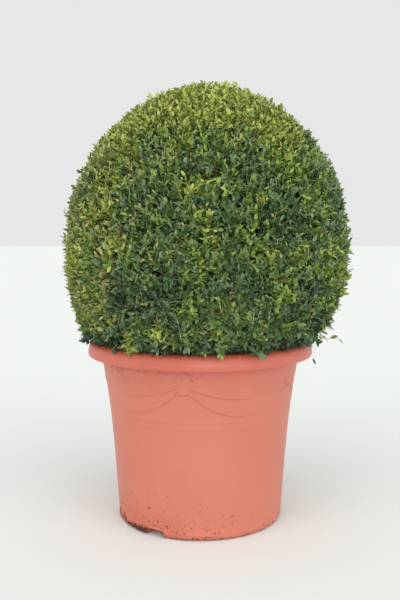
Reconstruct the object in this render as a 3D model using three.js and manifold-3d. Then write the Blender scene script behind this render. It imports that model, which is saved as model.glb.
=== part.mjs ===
// Box topiary ball: one clipped crown of foliage on a short forked stem, planted in a round
// plastic patio pot with a rolled lip. Millimetres, +Z up. The origin is the centre of the
// pot's flat underside, and the pot's front faces -Y.

import * as THREE from 'three';
import { mergeVertices } from 'three/addons/utils/BufferGeometryUtils.js';
import Module from 'manifold-3d';

const wasm = await Module();
wasm.setup();

// ---------- driving dimensions ----------

const gap = 0.3;                 // clearance between pieces that touch

const roundSegments = 60;        // facets round the pot and the potting soil
const footRadius = 142.5;        // line of the wall carried down to the ground
const cornerRadius = 6;          // rounded edge between the wall and the underside
const wallDraft = 0.0665;        // widening of the wall for each millimetre of height
const lipFlare = 11;             // extra widening where the wall meets the lip
const wallThickness = 3.2;
const floorThickness = 7;
const floorEdge = 104;           // radius where the floor starts to rise to the foot ring
const ringInner = 114;           // inner edge of the foot ring's top
const wallSteps = 6;             // straight facets up the wall
const footInner = 112;           // inner edge of the ring that the pot stands on
const centreDisc = 36;           // radius of the disc that carries the middle of the floor
const recessDepth = 3;           // hollow of the underside between ring and disc
const ringFall = 0.5;            // fall of the foot ring's top towards the floor
const footHeight = 17;           // top of the thick foot ring that the drain notches are cut in

const lipUnderside = 287.5;
const lipRadius = 195;
const lipHeight = 25.5;
const lipRound = 10;             // rounding of the lip's outer shoulder
const lipUndercut = 4;           // inset of the lip's underside from its widest line
const lipEdge = 3;               // height over which it comes out to 1 mm from that line
const mouthBevel = 8;            // width of the bevel down into the mouth
const mouthDrop = 7;
const rimFall = 0.5;             // fall of the rim's flat top towards the mouth
const rimHeight = lipUnderside + lipHeight;

const notchCount = 3;
const notchAngle = -31;          // degrees from the pot's front, to the viewer's right
const notchHeight = 13;
const notchBottomWidth = 35;
const notchTopWidth = 26;
const notchDepth = 23.5;

const soilLevel = 262;
const soilUnevenness = 4;

const stemFootRadius = 31;
const stemWaistRadius = 20;
const stemForkRadius = 25;
const stemFoot = new THREE.Vector2(4, -3);
const stemLean = new THREE.Vector2(5, 3);      // shift of the fork from the foot
const forkLevel = 280;

const boughCount = 5;
const boughRing = 14.5;          // circle on which the boughs leave the fork
const boughFootRadius = 8;
const boughTipRadius = 6;
const boughReach = 41;           // distance of the tips from the fork's axis
const boughBow = 7;              // outward bow of each bough before it rises

const crownBottom = rimHeight + gap;
const crownCentre = new THREE.Vector3(11.9, 0, 472.7);
const crownRadius = 244;
const crownHalfHeight = 275.5;
const crownFullness = 1.85;      // upper half: 2 is an ellipse, less is leaner at the shoulders
const crownFootShift = 3.2;      // side shift of the crown where it sits on the lip
const crownFootBlend = 50;       // height over which that shift grows to the full one
const crownUnevenness = 3;
const crownRows = 29;
const crownColumns = 54;

// ---------- helpers ----------

const radians = THREE.MathUtils.degToRad;

// Direction at an angle from the pot's front, growing towards the viewer's right.
function fromFront(degrees) {
  return new THREE.Vector2(Math.sin(radians(degrees)), -Math.cos(radians(degrees)));
}

function spin(profile) {
  const points = profile.map(([radius, height]) => new THREE.Vector2(radius, height));
  return new THREE.LatheGeometry(points, roundSegments).rotateX(Math.PI / 2);
}

// Quarter round from one angle to another, in degrees, about a centre of the half section.
function round(radius, height, size, from, to, steps) {
  return Array.from({ length: steps + 1 }, (_, i) => {
    const angle = radians(from + ((to - from) * i) / steps);
    return [radius + size * Math.cos(angle), height + size * Math.sin(angle)];
  });
}

function toSolid(geometry) {
  const bare = geometry.clone();
  bare.deleteAttribute('normal');
  bare.deleteAttribute('uv');
  const merged = mergeVertices(bare);
  return new wasm.Manifold(new wasm.Mesh({
    numProp: 3,
    vertProperties: Float32Array.from(merged.attributes.position.array),
    triVerts: Uint32Array.from(merged.index.array),
  }));
}

function toGeometry(solid) {
  const { vertProperties, triVerts } = solid.getMesh();
  const geometry = new THREE.BufferGeometry();
  geometry.setAttribute('position', new THREE.BufferAttribute(vertProperties, 3));
  geometry.setIndex(new THREE.BufferAttribute(triVerts, 1));
  geometry.computeVertexNormals();
  return geometry;
}

// Closed skin over rings of points that all have the same number of corners, low ring first.
function skin(rings) {
  const corners = rings[0].length;
  const middle = (ring) => ring
    .reduce((sum, point) => sum.add(point), new THREE.Vector3())
    .divideScalar(corners);
  const points = [...rings.flat(), middle(rings[0]), middle(rings.at(-1))];
  const bottom = points.length - 2;
  const top = points.length - 1;
  const last = (rings.length - 1) * corners;
  const faces = [];
  for (let corner = 0; corner < corners; corner += 1) {
    const next = (corner + 1) % corners;
    faces.push(bottom, next, corner);
    for (let start = 0; start < last; start += corners) {
      faces.push(start + corner, start + next, start + corners + next);
      faces.push(start + corner, start + corners + next, start + corners + corner);
    }
    faces.push(top, last + corner, last + next);
  }
  const geometry = new THREE.BufferGeometry().setFromPoints(points);
  geometry.setIndex(faces);
  geometry.computeVertexNormals();
  return geometry;
}

// Tapering limb along a rising curve, drawn as level sections so that both ends are cut level.
function limb(curve, radiusAt, sides, steps) {
  const rings = [];
  for (let step = 0; step <= steps; step += 1) {
    const t = step / steps;
    const centre = curve.getPoint(t);
    const along = curve.getTangent(t);
    const across = new THREE.Vector3(0, 1, 0).cross(along).normalize();
    const up = along.clone().cross(across);
    rings.push(Array.from({ length: sides }, (_, side) => {
      const angle = (2 * Math.PI * side) / sides;
      const radius = radiusAt(t, angle);
      const offset = across.clone().multiplyScalar(radius * Math.cos(angle))
        .addScaledVector(up, radius * Math.sin(angle));
      return centre.clone().add(offset.addScaledVector(along, -offset.z / along.z));
    }));
  }
  return skin(rings);
}

const group = new THREE.Group();

function add(name, geometry, color, roughness) {
  const material = new THREE.MeshStandardMaterial({ color, roughness, metalness: 0 });
  const mesh = new THREE.Mesh(geometry, material);
  mesh.name = name;
  group.add(mesh);
}

// ---------- pot ----------

// Outer face of the wall: a straight draft, and a flare that gathers towards the lip.
function wallRadius(height) {
  return footRadius + wallDraft * height + lipFlare * (height / lipUnderside) ** 4;
}

// Levels at which the wall's faces bend, from the foot ring up to the lip.
const wallTop = lipUnderside - gap;
const wallLevels = Array.from({ length: wallSteps + 1 }, (_, i) => (
  footHeight + ((wallTop - footHeight) * i) / wallSteps));

// Radius of the faceted inner face of the wall.
function innerRadius(height) {
  const step = wallLevels[1] - wallLevels[0];
  const index = Math.min(wallSteps - 1, Math.max(0, Math.floor((height - footHeight) / step)));
  const low = wallLevels[index];
  const share = (height - low) / step;
  return THREE.MathUtils.lerp(wallRadius(low), wallRadius(low + step), share) - wallThickness;
}

function notch(angle) {
  const half = notchBottomWidth / 2;
  const halfTop = notchTopWidth / 2;
  const outline = new THREE.Shape([
    new THREE.Vector2(-half, -1),
    new THREE.Vector2(half, -1),
    new THREE.Vector2(halfTop, notchHeight),
    new THREE.Vector2(-halfTop, notchHeight),
  ]);
  const length = notchDepth + cornerRadius * 2;
  const block = new THREE.ExtrudeGeometry(outline, { depth: length, bevelEnabled: false });
  block.rotateX(Math.PI / 2);
  block.translate(0, -(footRadius - notchDepth), 0);
  return toSolid(block.rotateZ(radians(angle)));
}

function potBodyGeometry() {
  const corner = round(footRadius - cornerRadius, cornerRadius, cornerRadius, -90, 0, 4);
  const profile = [
    [0, 0],
    [centreDisc, 0],
    [centreDisc + recessDepth, recessDepth],
    [footInner - recessDepth, recessDepth],
    [footInner, 0],
    ...corner,
    ...wallLevels.map((height) => [wallRadius(height), height]),
    ...wallLevels.map((height) => [innerRadius(height), height]).reverse(),
    [ringInner, footHeight - ringFall],
    [floorEdge, floorThickness],
    [0, floorThickness],
  ];
  const blank = toSolid(spin(profile));
  const notches = Array.from({ length: notchCount }, (_, i) => (
    notch(notchAngle + (360 * i) / notchCount)));
  return toGeometry(notches.reduce((pot, cut) => pot.subtract(cut), blank));
}

// Thick rolled ring that sits on the wall's top edge.
function potLipGeometry() {
  const inner = innerRadius(wallTop);
  const shoulder = round(lipRadius - lipRound, rimHeight - lipRound, lipRound, 0, 90, 5);
  return spin([
    [inner, lipUnderside],
    [lipRadius - lipUndercut, lipUnderside],
    [lipRadius - 1, lipUnderside + lipEdge],
    ...shoulder,
    [inner + mouthBevel, rimHeight - rimFall],
    [inner, rimHeight - mouthDrop],
    [inner, lipUnderside],
  ]);
}

add('pot_body', potBodyGeometry(), '#d6826c', 0.55);
add('pot_lip', potLipGeometry(), '#d6826c', 0.5);

// ---------- potting soil ----------

// Lumpy surface, level where the stem's foot stands and along the pot's wall.
function soilHeight(x, y) {
  const fromStem = Math.hypot(x - stemFoot.x, y - stemFoot.y);
  const fromWall = innerRadius(soilLevel) - Math.hypot(x, y);
  const rise = THREE.MathUtils.smoothstep(fromStem, 60, 100);
  const fall = THREE.MathUtils.smoothstep(fromWall, 2, 30);
  const lumps = (Math.sin(x / 19 + 1) + Math.cos(y / 16 - x / 33)) / 2;
  return soilLevel + soilUnevenness * rise * fall * lumps;
}

function soilGeometry() {
  const brim = innerRadius(soilLevel) - gap;
  const side = [footHeight + 2 * gap, ...wallLevels.filter((level) => (
    level > footHeight && level < soilLevel))];
  const profile = [
    [0, floorThickness + gap],
    [floorEdge - 2 * gap, floorThickness + gap],
    [ringInner - 2 * gap, footHeight],
    ...side.map((height) => [innerRadius(height) - gap, height]),
    [brim, soilLevel],
    [brim * 0.78, soilLevel],
    [brim * 0.52, soilLevel],
    [brim * 0.34, soilLevel],
    [0, soilLevel],
  ];
  const geometry = spin(profile);
  const position = geometry.attributes.position;
  for (let i = 0; i < position.count; i += 1) {
    if (position.getZ(i) > soilLevel - 1) {
      position.setZ(i, soilHeight(position.getX(i), position.getY(i)));
    }
  }
  return geometry;
}

add('potting_soil', soilGeometry(), '#2e241c', 0.95);

// ---------- stem and boughs ----------

const fork = new THREE.Vector3(stemFoot.x + stemLean.x, stemFoot.y + stemLean.y, forkLevel);

function stemGeometry() {
  const foot = new THREE.Vector3(stemFoot.x, stemFoot.y, soilLevel + gap);
  const radiusAt = (t, angle) => {
    const flare = (stemFootRadius - stemWaistRadius) * (1 - t) ** 2;
    const lobes = 1 + 0.28 * Math.sin(5 * angle + 0.6);
    const swell = (stemForkRadius - stemWaistRadius) * t ** 2;
    return stemWaistRadius + flare * lobes + swell;
  };
  return limb(new THREE.LineCurve3(foot, fork), radiusAt, 20, 6);
}

add('stem', stemGeometry(), '#8c7d62', 0.85);

function boughGeometry(index) {
  const turn = (360 * index) / boughCount + 17;
  const outward = fromFront(turn);
  const reach = boughReach * (1 + 0.12 * Math.sin(index * 2.3));
  const rise = crownBottom - gap - forkLevel;
  const at = (distance, height) => new THREE.Vector3(
    fork.x + outward.x * distance,
    fork.y + outward.y * distance,
    forkLevel + height,
  );
  const curve = new THREE.QuadraticBezierCurve3(
    at(boughRing, gap),
    at(boughRing + boughBow, rise * 0.4),
    at(reach, rise),
  );
  const radiusAt = (t) => boughFootRadius + (boughTipRadius - boughFootRadius) * t;
  return limb(curve, radiusAt, 10, 6);
}

for (let index = 0; index < boughCount; index += 1) {
  add(`bough_${index + 1}`, boughGeometry(index), '#94866a', 0.85);
}

// ---------- crown ----------

// Radius of the clipped ball at a share of its half height above or below the centre.
function crownOutline(share) {
  const fullness = share > 0 ? crownFullness : 2;
  return crownRadius * (1 - share ** 2) ** (1 / fullness);
}

// Swell and dip left by the shears, for a direction from the crown's centre.
function clipSwell(x, y, z) {
  const broad = Math.sin(4.1 * x + 2.3 * z + 0.7) * Math.cos(3.7 * y - 1.9 * z);
  const fine = Math.sin(9.3 * x - 5.1 * y + 1.3) * Math.cos(8.7 * z + 3.9 * y);
  return crownUnevenness * (0.6 * broad + 0.4 * fine);
}

function crownRing(height) {
  const share = (height - crownCentre.z) / crownHalfHeight;
  const radius = crownOutline(share);
  const settled = Math.min(1, (height - crownBottom) / crownFootBlend);
  const shift = crownFootShift + (crownCentre.x - crownFootShift) * settled;
  return Array.from({ length: crownColumns }, (_, column) => {
    const angle = (2 * Math.PI * column) / crownColumns;
    const x = Math.cos(angle);
    const y = Math.sin(angle);
    const level = radius / crownRadius;
    const reach = radius + clipSwell(x * level, y * level, share) * Math.min(1, level * 3);
    return new THREE.Vector3(shift + x * reach, y * reach, height);
  });
}

function crownGeometry() {
  const lowest = Math.asin((crownBottom - crownCentre.z) / crownHalfHeight);
  const highest = radians(88.5);
  const heights = Array.from({ length: crownRows }, (_, row) => {
    const tilt = lowest + ((highest - lowest) * row) / (crownRows - 1);
    return crownCentre.z + crownHalfHeight * Math.sin(tilt);
  });
  heights[0] = crownBottom;
  return skin(heights.map(crownRing));
}

add('clipped_crown', crownGeometry(), '#4f6434', 0.6);

export default group;
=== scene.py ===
import math
import random

import bpy
import numpy as np
from mathutils import Euler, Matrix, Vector
from mathutils.kdtree import KDTree


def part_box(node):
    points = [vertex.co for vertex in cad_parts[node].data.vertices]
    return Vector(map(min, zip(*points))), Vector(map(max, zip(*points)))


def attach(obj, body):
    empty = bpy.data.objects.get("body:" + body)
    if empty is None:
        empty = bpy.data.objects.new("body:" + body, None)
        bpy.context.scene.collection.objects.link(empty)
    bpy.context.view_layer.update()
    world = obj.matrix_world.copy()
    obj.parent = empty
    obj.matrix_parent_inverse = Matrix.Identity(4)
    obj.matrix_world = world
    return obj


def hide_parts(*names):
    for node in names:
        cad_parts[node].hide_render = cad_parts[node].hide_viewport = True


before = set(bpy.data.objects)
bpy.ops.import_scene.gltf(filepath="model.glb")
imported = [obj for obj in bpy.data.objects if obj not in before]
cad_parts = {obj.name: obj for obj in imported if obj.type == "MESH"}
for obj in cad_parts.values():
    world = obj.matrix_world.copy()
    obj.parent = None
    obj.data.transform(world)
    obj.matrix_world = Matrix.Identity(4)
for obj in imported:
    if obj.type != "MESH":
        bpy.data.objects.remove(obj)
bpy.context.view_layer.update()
rootBody = "root"

lipLow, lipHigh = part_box("pot_lip")
soilLow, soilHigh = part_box("potting_soil")
stemLow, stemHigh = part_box("stem")
crownLow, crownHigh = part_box("clipped_crown")
print("frame loaded, crown", [round(v, 3) for v in crownHigh - crownLow])


# small helpers

def nothingSelected():
    if bpy.context.object and bpy.context.object.mode != "OBJECT":
        bpy.ops.object.mode_set(mode="OBJECT")
    bpy.ops.object.select_all(action="DESELECT")


def selectOnly(*objects):
    nothingSelected()
    for item in objects:
        item.select_set(True)
    bpy.context.view_layer.objects.active = objects[0]


def added(operator, **settings):
    # what an operator adds, on its own
    nothingSelected()
    operator(**settings)
    return bpy.context.object


def setAll(item, settings):
    for key, value in settings.items():
        setattr(item, key, value)
    return item


def reshaped(piece, kind, **settings):
    # a modifier, set and applied
    modifier = setAll(piece.modifiers.new("reshape", kind), settings)
    selectOnly(piece)
    bpy.ops.object.modifier_apply(modifier=modifier.name)


def facesOutwards():
    # the end of an edit
    bpy.ops.mesh.select_all(action="SELECT")
    bpy.ops.mesh.normals_make_consistent(inside=False)
    bpy.ops.object.mode_set(mode="OBJECT")


def settle(piece):
    # place, turn and size go into the mesh
    selectOnly(piece)
    bpy.ops.object.transform_apply(location=True, rotation=True, scale=True)


def joined(objects, name):
    selectOnly(*objects)
    bpy.ops.object.join()
    piece = bpy.context.object
    piece.name = piece.data.name = name
    settle(piece)
    return piece


def declare(piece, slotName, *nodes):
    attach(piece, rootBody)
    if nodes:
        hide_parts(*nodes)


def meshFrom(name, verts, faces, material, smooth=True):
    # many alike in one mesh: verts is how many x corners x 3, faces are the faces of one of them
    data = bpy.data.meshes.new(name)
    faces = faces[None] + (np.arange(len(verts)) * verts.shape[1])[:, None, None]
    count, sides = faces.shape[0] * faces.shape[1], faces.shape[2]
    data.vertices.add(verts.shape[0] * verts.shape[1])
    data.vertices.foreach_set("co", np.ascontiguousarray(verts, dtype=np.float32).ravel())
    data.loops.add(count * sides)
    data.loops.foreach_set("vertex_index", np.ascontiguousarray(faces, dtype=np.int32).ravel())
    data.polygons.add(count)
    data.polygons.foreach_set("loop_start", np.arange(0, count * sides, sides, dtype=np.int32))
    data.polygons.foreach_set("use_smooth", np.full(count, smooth))
    data.update(calc_edges=True)
    data.validate()
    data.materials.append(material)
    piece = bpy.data.objects.new(name, data)
    bpy.context.scene.collection.objects.link(piece)
    return piece


# materials

def plainMaterial(name, color, roughness, **sockets):
    material = bpy.data.materials.new(name)
    material.use_nodes = True
    shader = material.node_tree.nodes["Principled BSDF"]
    shader.inputs["Base Color"].default_value = (*color, 1)
    shader.inputs["Roughness"].default_value = roughness
    for socket, value in sockets.items():
        shader.inputs[socket.replace("_", " ")].default_value = value
    return material


def node(tree, kind, inputs=None, **settings):
    made = setAll(tree.nodes.new("ShaderNode" + kind), settings)
    for key, value in (inputs or {}).items():
        if isinstance(value, bpy.types.NodeSocket):
            tree.links.new(value, made.inputs[key])
        else:
            made.inputs[key].default_value = value
    return made


def mathNode(tree, operation, a, b):
    return node(tree, "Math", {0: a, 1: b}, operation=operation).outputs[0]


def ranged(tree, value, low, high, toLow=0.0, toHigh=1.0):
    return node(tree, "MapRange", {0: value, 1: low, 2: high, 3: toLow, 4: toHigh},
                interpolation_type="SMOOTHSTEP").outputs[0]


def times(tree, a, b):
    return mathNode(tree, "MULTIPLY", a, b)


def mixed(tree, factor, a, b):
    # a and b are colours, fixed ones or sockets
    a, b = [(*shade, 1) if isinstance(shade, tuple) else shade for shade in (a, b)]
    return node(tree, "Mix", {0: factor, 6: a, 7: b}, data_type="RGBA").outputs[2]


def noise(tree, place, scale, detail=2.0, roughness=0.5):
    return node(tree, "TexNoise", {"Vector": place, "Scale": scale, "Detail": detail,
                                   "Roughness": roughness}).outputs["Fac"]


def bump(tree, height, strength, distance):
    return node(tree, "Bump", {"Height": height, "Strength": strength, "Distance": distance}).outputs[0]


def finishTree(name, color, roughness):
    # a new material, with its tree, its shader and the place on the object
    material = plainMaterial(name, color, roughness)
    tree = material.node_tree
    return material, tree, tree.nodes["Principled BSDF"], node(tree, "TexCoord").outputs["Object"]


potFinish = {
    "color": (0.5, 0.146, 0.093),
    "faded": (0.522, 0.16, 0.104),
    "lip": (0.468, 0.116, 0.074),  # the lip has faded less than the wall
    "lipDeep": (0.42, 0.096, 0.056),  # with a deeper patch left of its front
    "lipPatch": (-0.055, -0.18, 0.3),
    "shaded": (0.385, 0.078, 0.042),  # its top, under the leaves, darker and redder still: painted shadow of the leaves
    "dirt": (0.062, 0.024, 0.016),
    "stainAndShade": (0.33, 0.066, 0.042),  # damp marks under the lip, and broad painted shade under it on the left
    "underLipBounce": (0.573, 0.148, 0.104),  # the wall's top under the lip, painted lighter and redder: painted bounce light from the lip into its shade
    "roughness": 0.44,
    "lipPolish": 0.06,  # how much smoother the lip is
    "cloudScale": 11,  # noise scales, from broad fading to fine grain
    "patchScale": 26,
    "footScale": 70,
    "stainScale": 75,
    "streakScale": 170,
    "grainScale": 520,
    "speckScale": 210,  # cells of about 5 mm
    "speckTop": 0.13,  # height up to which the splashed soil reaches
    "stainsAndShade": (  # degrees from the front, height and reach in mm, strength in percent
        (-58.5, 276.5, 8.5, 60), (-52.5, 277, 8, 75), (-47.5, 277, 8, 45), (-50.5, 270, 8, 25),
        (-35, 279.5, 7, 30), (-30.5, 278.5, 7, 25), (-26, 278, 7, 25), (-21.5, 282, 7, 35),
        (-18.5, 281.5, 7, 30), (-17, 281, 7, 40), (-14.5, 279.5, 6, 45), (-12.5, 278, 6, 35),
        (-14.5, 266.5, 4.5, 25), (-12.5, 271.5, 4.5, 35), (-10, 271, 4.5, 35), (-8.5, 282, 6, 35),
        (-6.5, 279.5, 6, 35), (-4.5, 276.5, 6, 35), (-4.5, 269.5, 5, 45), (-1.5, 273.5, 4.5, 40),
        # the last two entries, broad and faint, are painted shade under the lip on the left
        (1, 277, 4.5, 35), (-3, 260.5, 4.5, 25), (-13, 248, 3.5, 40), (-46, 270, 40, 20),
        (-28, 270, 35, 15),
    ),
    "grime": (0.4, 0.088, 0.045),  # the wall round the splashes
    "grimy": ((-52, 10, 50, 24), (-24, 8, 50, 25)),
    "soiled": (
        (-49, 6.5, 10, 80), (-42.5, 7, 9, 90), (4, 35.5, 6, 50), (-38, 5, 11, 95),
        (-25.5, 9, 6, 75), (-64, 11, 4, 60), (21, 40.5, 6, 55), (-35, 48, 3, 80), (7, 71, 4, 55),
        (3, 18, 8, 40), (60, 246.5, 4, 70), (72, 233.5, 5, 60),
    ),
}


def near(tree, place, centre, reach):
    # 1 at a point, falling to 0 at its reach
    away = node(tree, "VectorMath", {0: place, 1: centre}, operation="DISTANCE").outputs["Value"]
    return ranged(tree, away, reach * 0.2, reach, 1.0, 0.0)


def potMaterial(opts, name="terracotta_plastic"):
    material, tree, shader, place = finishTree(name, opts["color"], opts["roughness"])
    x, _, z = node(tree, "SeparateXYZ", {0: place}).outputs
    cloud = ranged(tree, noise(tree, place, opts["cloudScale"], 5), 0.3, 0.75)
    color = mixed(tree, cloud, opts["color"], opts["faded"])

    if "worn" in opts:
        # the painted shade along the creases fades to both sides of the front knot, and is fainter just
        # left of it
        fromFront = mathNode(tree, "ABSOLUTE", mathNode(tree, "ADD", x, -wornMiddle), 0.0)
        side = mathNode(tree, "SUBTRACT", ranged(tree, fromFront, *opts["fades"]),
                        ranged(tree, fromFront, *opts["returns"]))
        left = ranged(tree, x, *opts["fainter"])
        color = mixed(tree, mathNode(tree, "MAXIMUM", side, left), color, opts["worn"])

    # painted light: the wall's top under the lip is lit up redder, as if by light bounced off the lip
    underLipBounce = ranged(tree, z, lipLow.z - 0.026, lipLow.z - 0.004)
    color = mixed(tree, underLipBounce, color, opts["underLipBounce"])
    onLip = ranged(tree, z, lipLow.z, lipLow.z + 0.002)
    deeper = times(tree, near(tree, place, opts["lipPatch"], 0.085), onLip)
    # painted shadow of the leaves on the lip's top, deepening towards the crest
    top = ranged(tree, z, lipLow.z + 0.012, lipHigh.z - 0.001)
    for amount, share, shade in ((onLip, 0.8, "lip"), (deeper, 0.6, "lipDeep"), (top, 0.9, "shaded")):
        color = mixed(tree, times(tree, amount, share), color, opts[shade])

    # splashed soil: dots in two sizes, thickest at the foot and on the left
    low = ranged(tree, z, 0.0, opts["speckTop"], 1.0, 0.0)
    steep = mathNode(tree, "POWER", low, 2.6)
    leftSide = ranged(tree, x, -0.13, 0.06, 1.0, 0.3)
    patch = ranged(tree, noise(tree, place, opts["patchScale"], 2), 0.38, 0.62, 0.25, 1.0)
    amount = times(tree, times(tree, steep, leftSide), patch)
    for scale, chanceTop, spotSize in ((opts["speckScale"], 0.34, 0.3),
                                       (opts["speckScale"] * 2.1, 0.55, 0.34)):
        cells = node(tree, "TexVoronoi", {"Vector": place, "Scale": scale}).outputs
        chance = node(tree, "SeparateColor", {0: cells["Color"]}).outputs["Red"]
        chosen = mathNode(tree, "LESS_THAN", chance, times(tree, amount, chanceTop))
        spot = ranged(tree, cells["Distance"], spotSize * 0.4, spotSize * 1.25, 0.8, 0.0)
        color = mixed(tree, times(tree, chosen, spot), color, opts["dirt"])

    # damp stains and broad painted shade under the lip, and soil wiped into the wall
    wall = ranged(tree, z, lipLow.z - 0.0005, lipLow.z + 0.0005, 1.0, 0.0)
    soft = ranged(tree, noise(tree, place, opts["stainScale"], 3), 0.28, 0.52)
    streaky = ranged(tree, noise(tree, place, opts["streakScale"], 3), 0.42, 0.6)
    for marks, tint, breakup in (("stainsAndShade", "stainAndShade", soft), ("grimy", "grime", soft),
                                 ("soiled", "dirt", streaky)):
        for degrees, height, reach, strength in opts[marks]:
            spot = near(tree, place, onWall(degrees, height / 1000), reach / 1000)
            mark = times(tree, times(tree, times(tree, spot, breakup), wall), strength / 100)
            color = mixed(tree, mark, color, opts[tint])
    splashed = ranged(tree, noise(tree, place, opts["footScale"], 4), 0.42, 0.66)
    foot = times(tree, ranged(tree, z, 0.0, 0.01, 0.35, 0.0), splashed)
    color = mixed(tree, foot, color, opts["dirt"])
    tree.links.new(color, shader.inputs["Base Color"])

    grain = noise(tree, place, opts["grainScale"], 3)
    rough = ranged(tree, grain, 0.3, 0.7, opts["roughness"] - 0.05, opts["roughness"] + 0.07)
    rough = mathNode(tree, "SUBTRACT", rough, times(tree, onLip, opts["lipPolish"]))
    tree.links.new(rough, shader.inputs["Roughness"])
    tree.links.new(bump(tree, grain, 0.12, 0.0006), shader.inputs["Normal"])
    return material


def soilMaterial(name, dark, light):
    material, tree, shader, place = finishTree(name, dark, 0.95)
    grain = noise(tree, place, 190, 6, 0.7)
    shade = mixed(tree, ranged(tree, grain, 0.35, 0.7), dark, light)
    tree.links.new(shade, shader.inputs["Base Color"])
    tree.links.new(bump(tree, grain, 0.8, 0.003), shader.inputs["Normal"])
    return material


def barkMaterial(name, color, light):
    material, tree, shader, place = finishTree(name, color, 0.85)
    stretched = node(tree, "Mapping", {0: place, 3: (1, 1, 0.35)}).outputs[0]
    furrow = noise(tree, stretched, 150, 6, 0.6)
    shade = mixed(tree, ranged(tree, furrow, 0.35, 0.65), color, light)
    tree.links.new(shade, shader.inputs["Base Color"])
    tree.links.new(bump(tree, furrow, 0.7, 0.002), shader.inputs["Normal"])
    return material


# the pot

potShape = {
    "facets": 144,
    "footRadius": 0.1425,
    "cornerRadius": 0.006,
    "wallDraft": 0.0665,
    "lipFlare": 0.011,
    "wall": 0.0032,
    "floor": 0.007,
    "floorEdge": 0.104,
    "ringInner": 0.114,
    "ringTop": 0.0165,
    "footInner": 0.112,
    "centreDisc": 0.036,
    "recess": 0.003,
    "bandTop": 0.0135,  # upper edge of the slightly proud foot band
    "bandProud": 0.0002,
    "ringLines": (0.189, 0.199, 0.277, 0.282),
    "ringProud": 0.0002,
    "wallRows": 34,
    "notchAngle": -32.2,
    "notchHeight": 0.013,
    "notchBottom": 0.037,
    "notchTop": 0.028,
    "notchDepth": 0.027,
    "drainHoles": 6,
    "drainHoleRadius": 0.006,
    "drainHoleRing": 0.075,
}


def wallRadius(height):
    share = height / lipLow.z
    return potShape["footRadius"] + potShape["wallDraft"] * height + potShape["lipFlare"] * share ** 4


def onWall(degrees, height, proud=0.0):
    # a point on the wall's outer face, at an angle from the pot's front
    angle = math.radians(degrees)
    radius = wallRadius(height) + proud
    return Vector((radius * math.sin(angle), -radius * math.cos(angle), height))


def onFoot(degrees, height):
    # the same, following the rounded edge between wall and underside
    corner = potShape["cornerRadius"]
    below = max(0.0, corner - height)
    return onWall(degrees, height, math.sqrt(corner ** 2 - below ** 2) - corner)


def inNotch(degrees, height=0.0, margin=0.5):
    # whether an angle falls in one of the three notches, which narrow upwards; margin is in degrees
    narrowing = (potShape["notchBottom"] - potShape["notchTop"]) * min(height / potShape["notchHeight"], 1)
    half = math.degrees((potShape["notchBottom"] - narrowing) / 2 / potShape["footRadius"]) + margin
    aside = [(degrees - potShape["notchAngle"] - 120 * i + 180) % 360 - 180 for i in range(3)]
    return any(abs(turn) < half for turn in aside)


def potProfile(opts):
    foot, corner = opts["footRadius"], opts["cornerRadius"]
    disc, recess, inner = opts["centreDisc"], opts["recess"], opts["footInner"]
    rows = [(0.001, 0.0), (disc, 0.0), (disc + recess, recess), (inner - recess, recess), (inner, 0.0)]
    for step in range(6):
        angle = math.radians(-90 + 18 * step)
        rows.append((foot + opts["bandProud"] - corner + corner * math.cos(angle),
                     corner + corner * math.sin(angle)))
    band = opts["bandTop"]
    rows += [(wallRadius(band) + opts["bandProud"], band - 0.0006), (wallRadius(band), band)]
    heights = [band + (lipLow.z - band) * (row + 1) / opts["wallRows"] for row in range(opts["wallRows"])]
    for line in opts["ringLines"]:
        heights = [h for h in heights if abs(h - line) > 0.0022]
        heights += [line - 0.0012, line - 0.0005, line + 0.0005, line + 0.0012]
    for height in sorted(heights):
        raised = any(abs(height - line) < 0.0008 for line in opts["ringLines"])
        rows.append((wallRadius(height) + (opts["ringProud"] if raised else 0), height))
    return rows + lipProfile() + innerProfile(opts)


def lipRows(steps):
    # steps are mm in from the lip's outside and mm up from its underside
    return [(lipHigh.x - inset / 1000, min(lipLow.z + rise / 1000, lipHigh.z)) for inset, rise in steps]


def lipCrest():
    # up the lip's face, over its rounded top and down into the mouth
    face = [(0.1, 5.5), (0.7, 9.8), (1.8, 13.8), (3.4, 17.7), (5.6, 21.1), (8.6, 23.8), (12, 25.1),
            (15.5, 25.1)]
    mouth = [(19.5, 23.8), (23.5, 20.7), (26.2, 16), (27.4, 10)]
    return lipRows(face + mouth)


def lipProfile():
    # up inside the rolled lip, over its hollow and down its skirt to the face
    hollow = [(24, 7), (21.5, 14.5), (16.5, 18.5), (11, 19), (7, 15.5), (4.8, 9), (4, 3)]
    skirt = [(3.6, 1), (2.4, 0), (1, 0.4), (0.2, 2)]
    return lipRows(hollow + skirt) + lipCrest()


def innerProfile(opts):
    steps = 12
    rows = []
    for step in range(steps + 1):
        height = lipLow.z + (opts["ringTop"] - lipLow.z) * step / steps
        rows.append((wallRadius(height) - opts["wall"], height))
    return rows + [(opts["ringInner"], opts["ringTop"]), (opts["floorEdge"], opts["floor"]),
                   (0.001, opts["floor"])]


def spunByExtrusion(name, profile, facets):
    # a ring at the first row, extruded and resized row by row
    radius, height = profile[0]
    piece = added(bpy.ops.mesh.primitive_circle_add, vertices=facets, radius=radius,
                  location=(0, 0, height))
    piece.name = piece.data.name = name
    settle(piece)
    bpy.ops.object.mode_set(mode="EDIT")
    bpy.ops.mesh.select_all(action="SELECT")
    for nextRadius, nextHeight in profile[1:]:
        bpy.ops.mesh.extrude_region_move(
            TRANSFORM_OT_translate={"value": (0, 0, nextHeight - height)})
        grow = nextRadius / radius
        bpy.ops.transform.resize(value=(grow, grow, 1), center_override=(0, 0, nextHeight))
        radius, height = nextRadius, nextHeight
    bpy.ops.mesh.edge_face_add()
    bpy.ops.mesh.select_all(action="DESELECT")
    bpy.ops.mesh.select_non_manifold()
    bpy.ops.mesh.edge_face_add()
    facesOutwards()
    return piece


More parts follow.
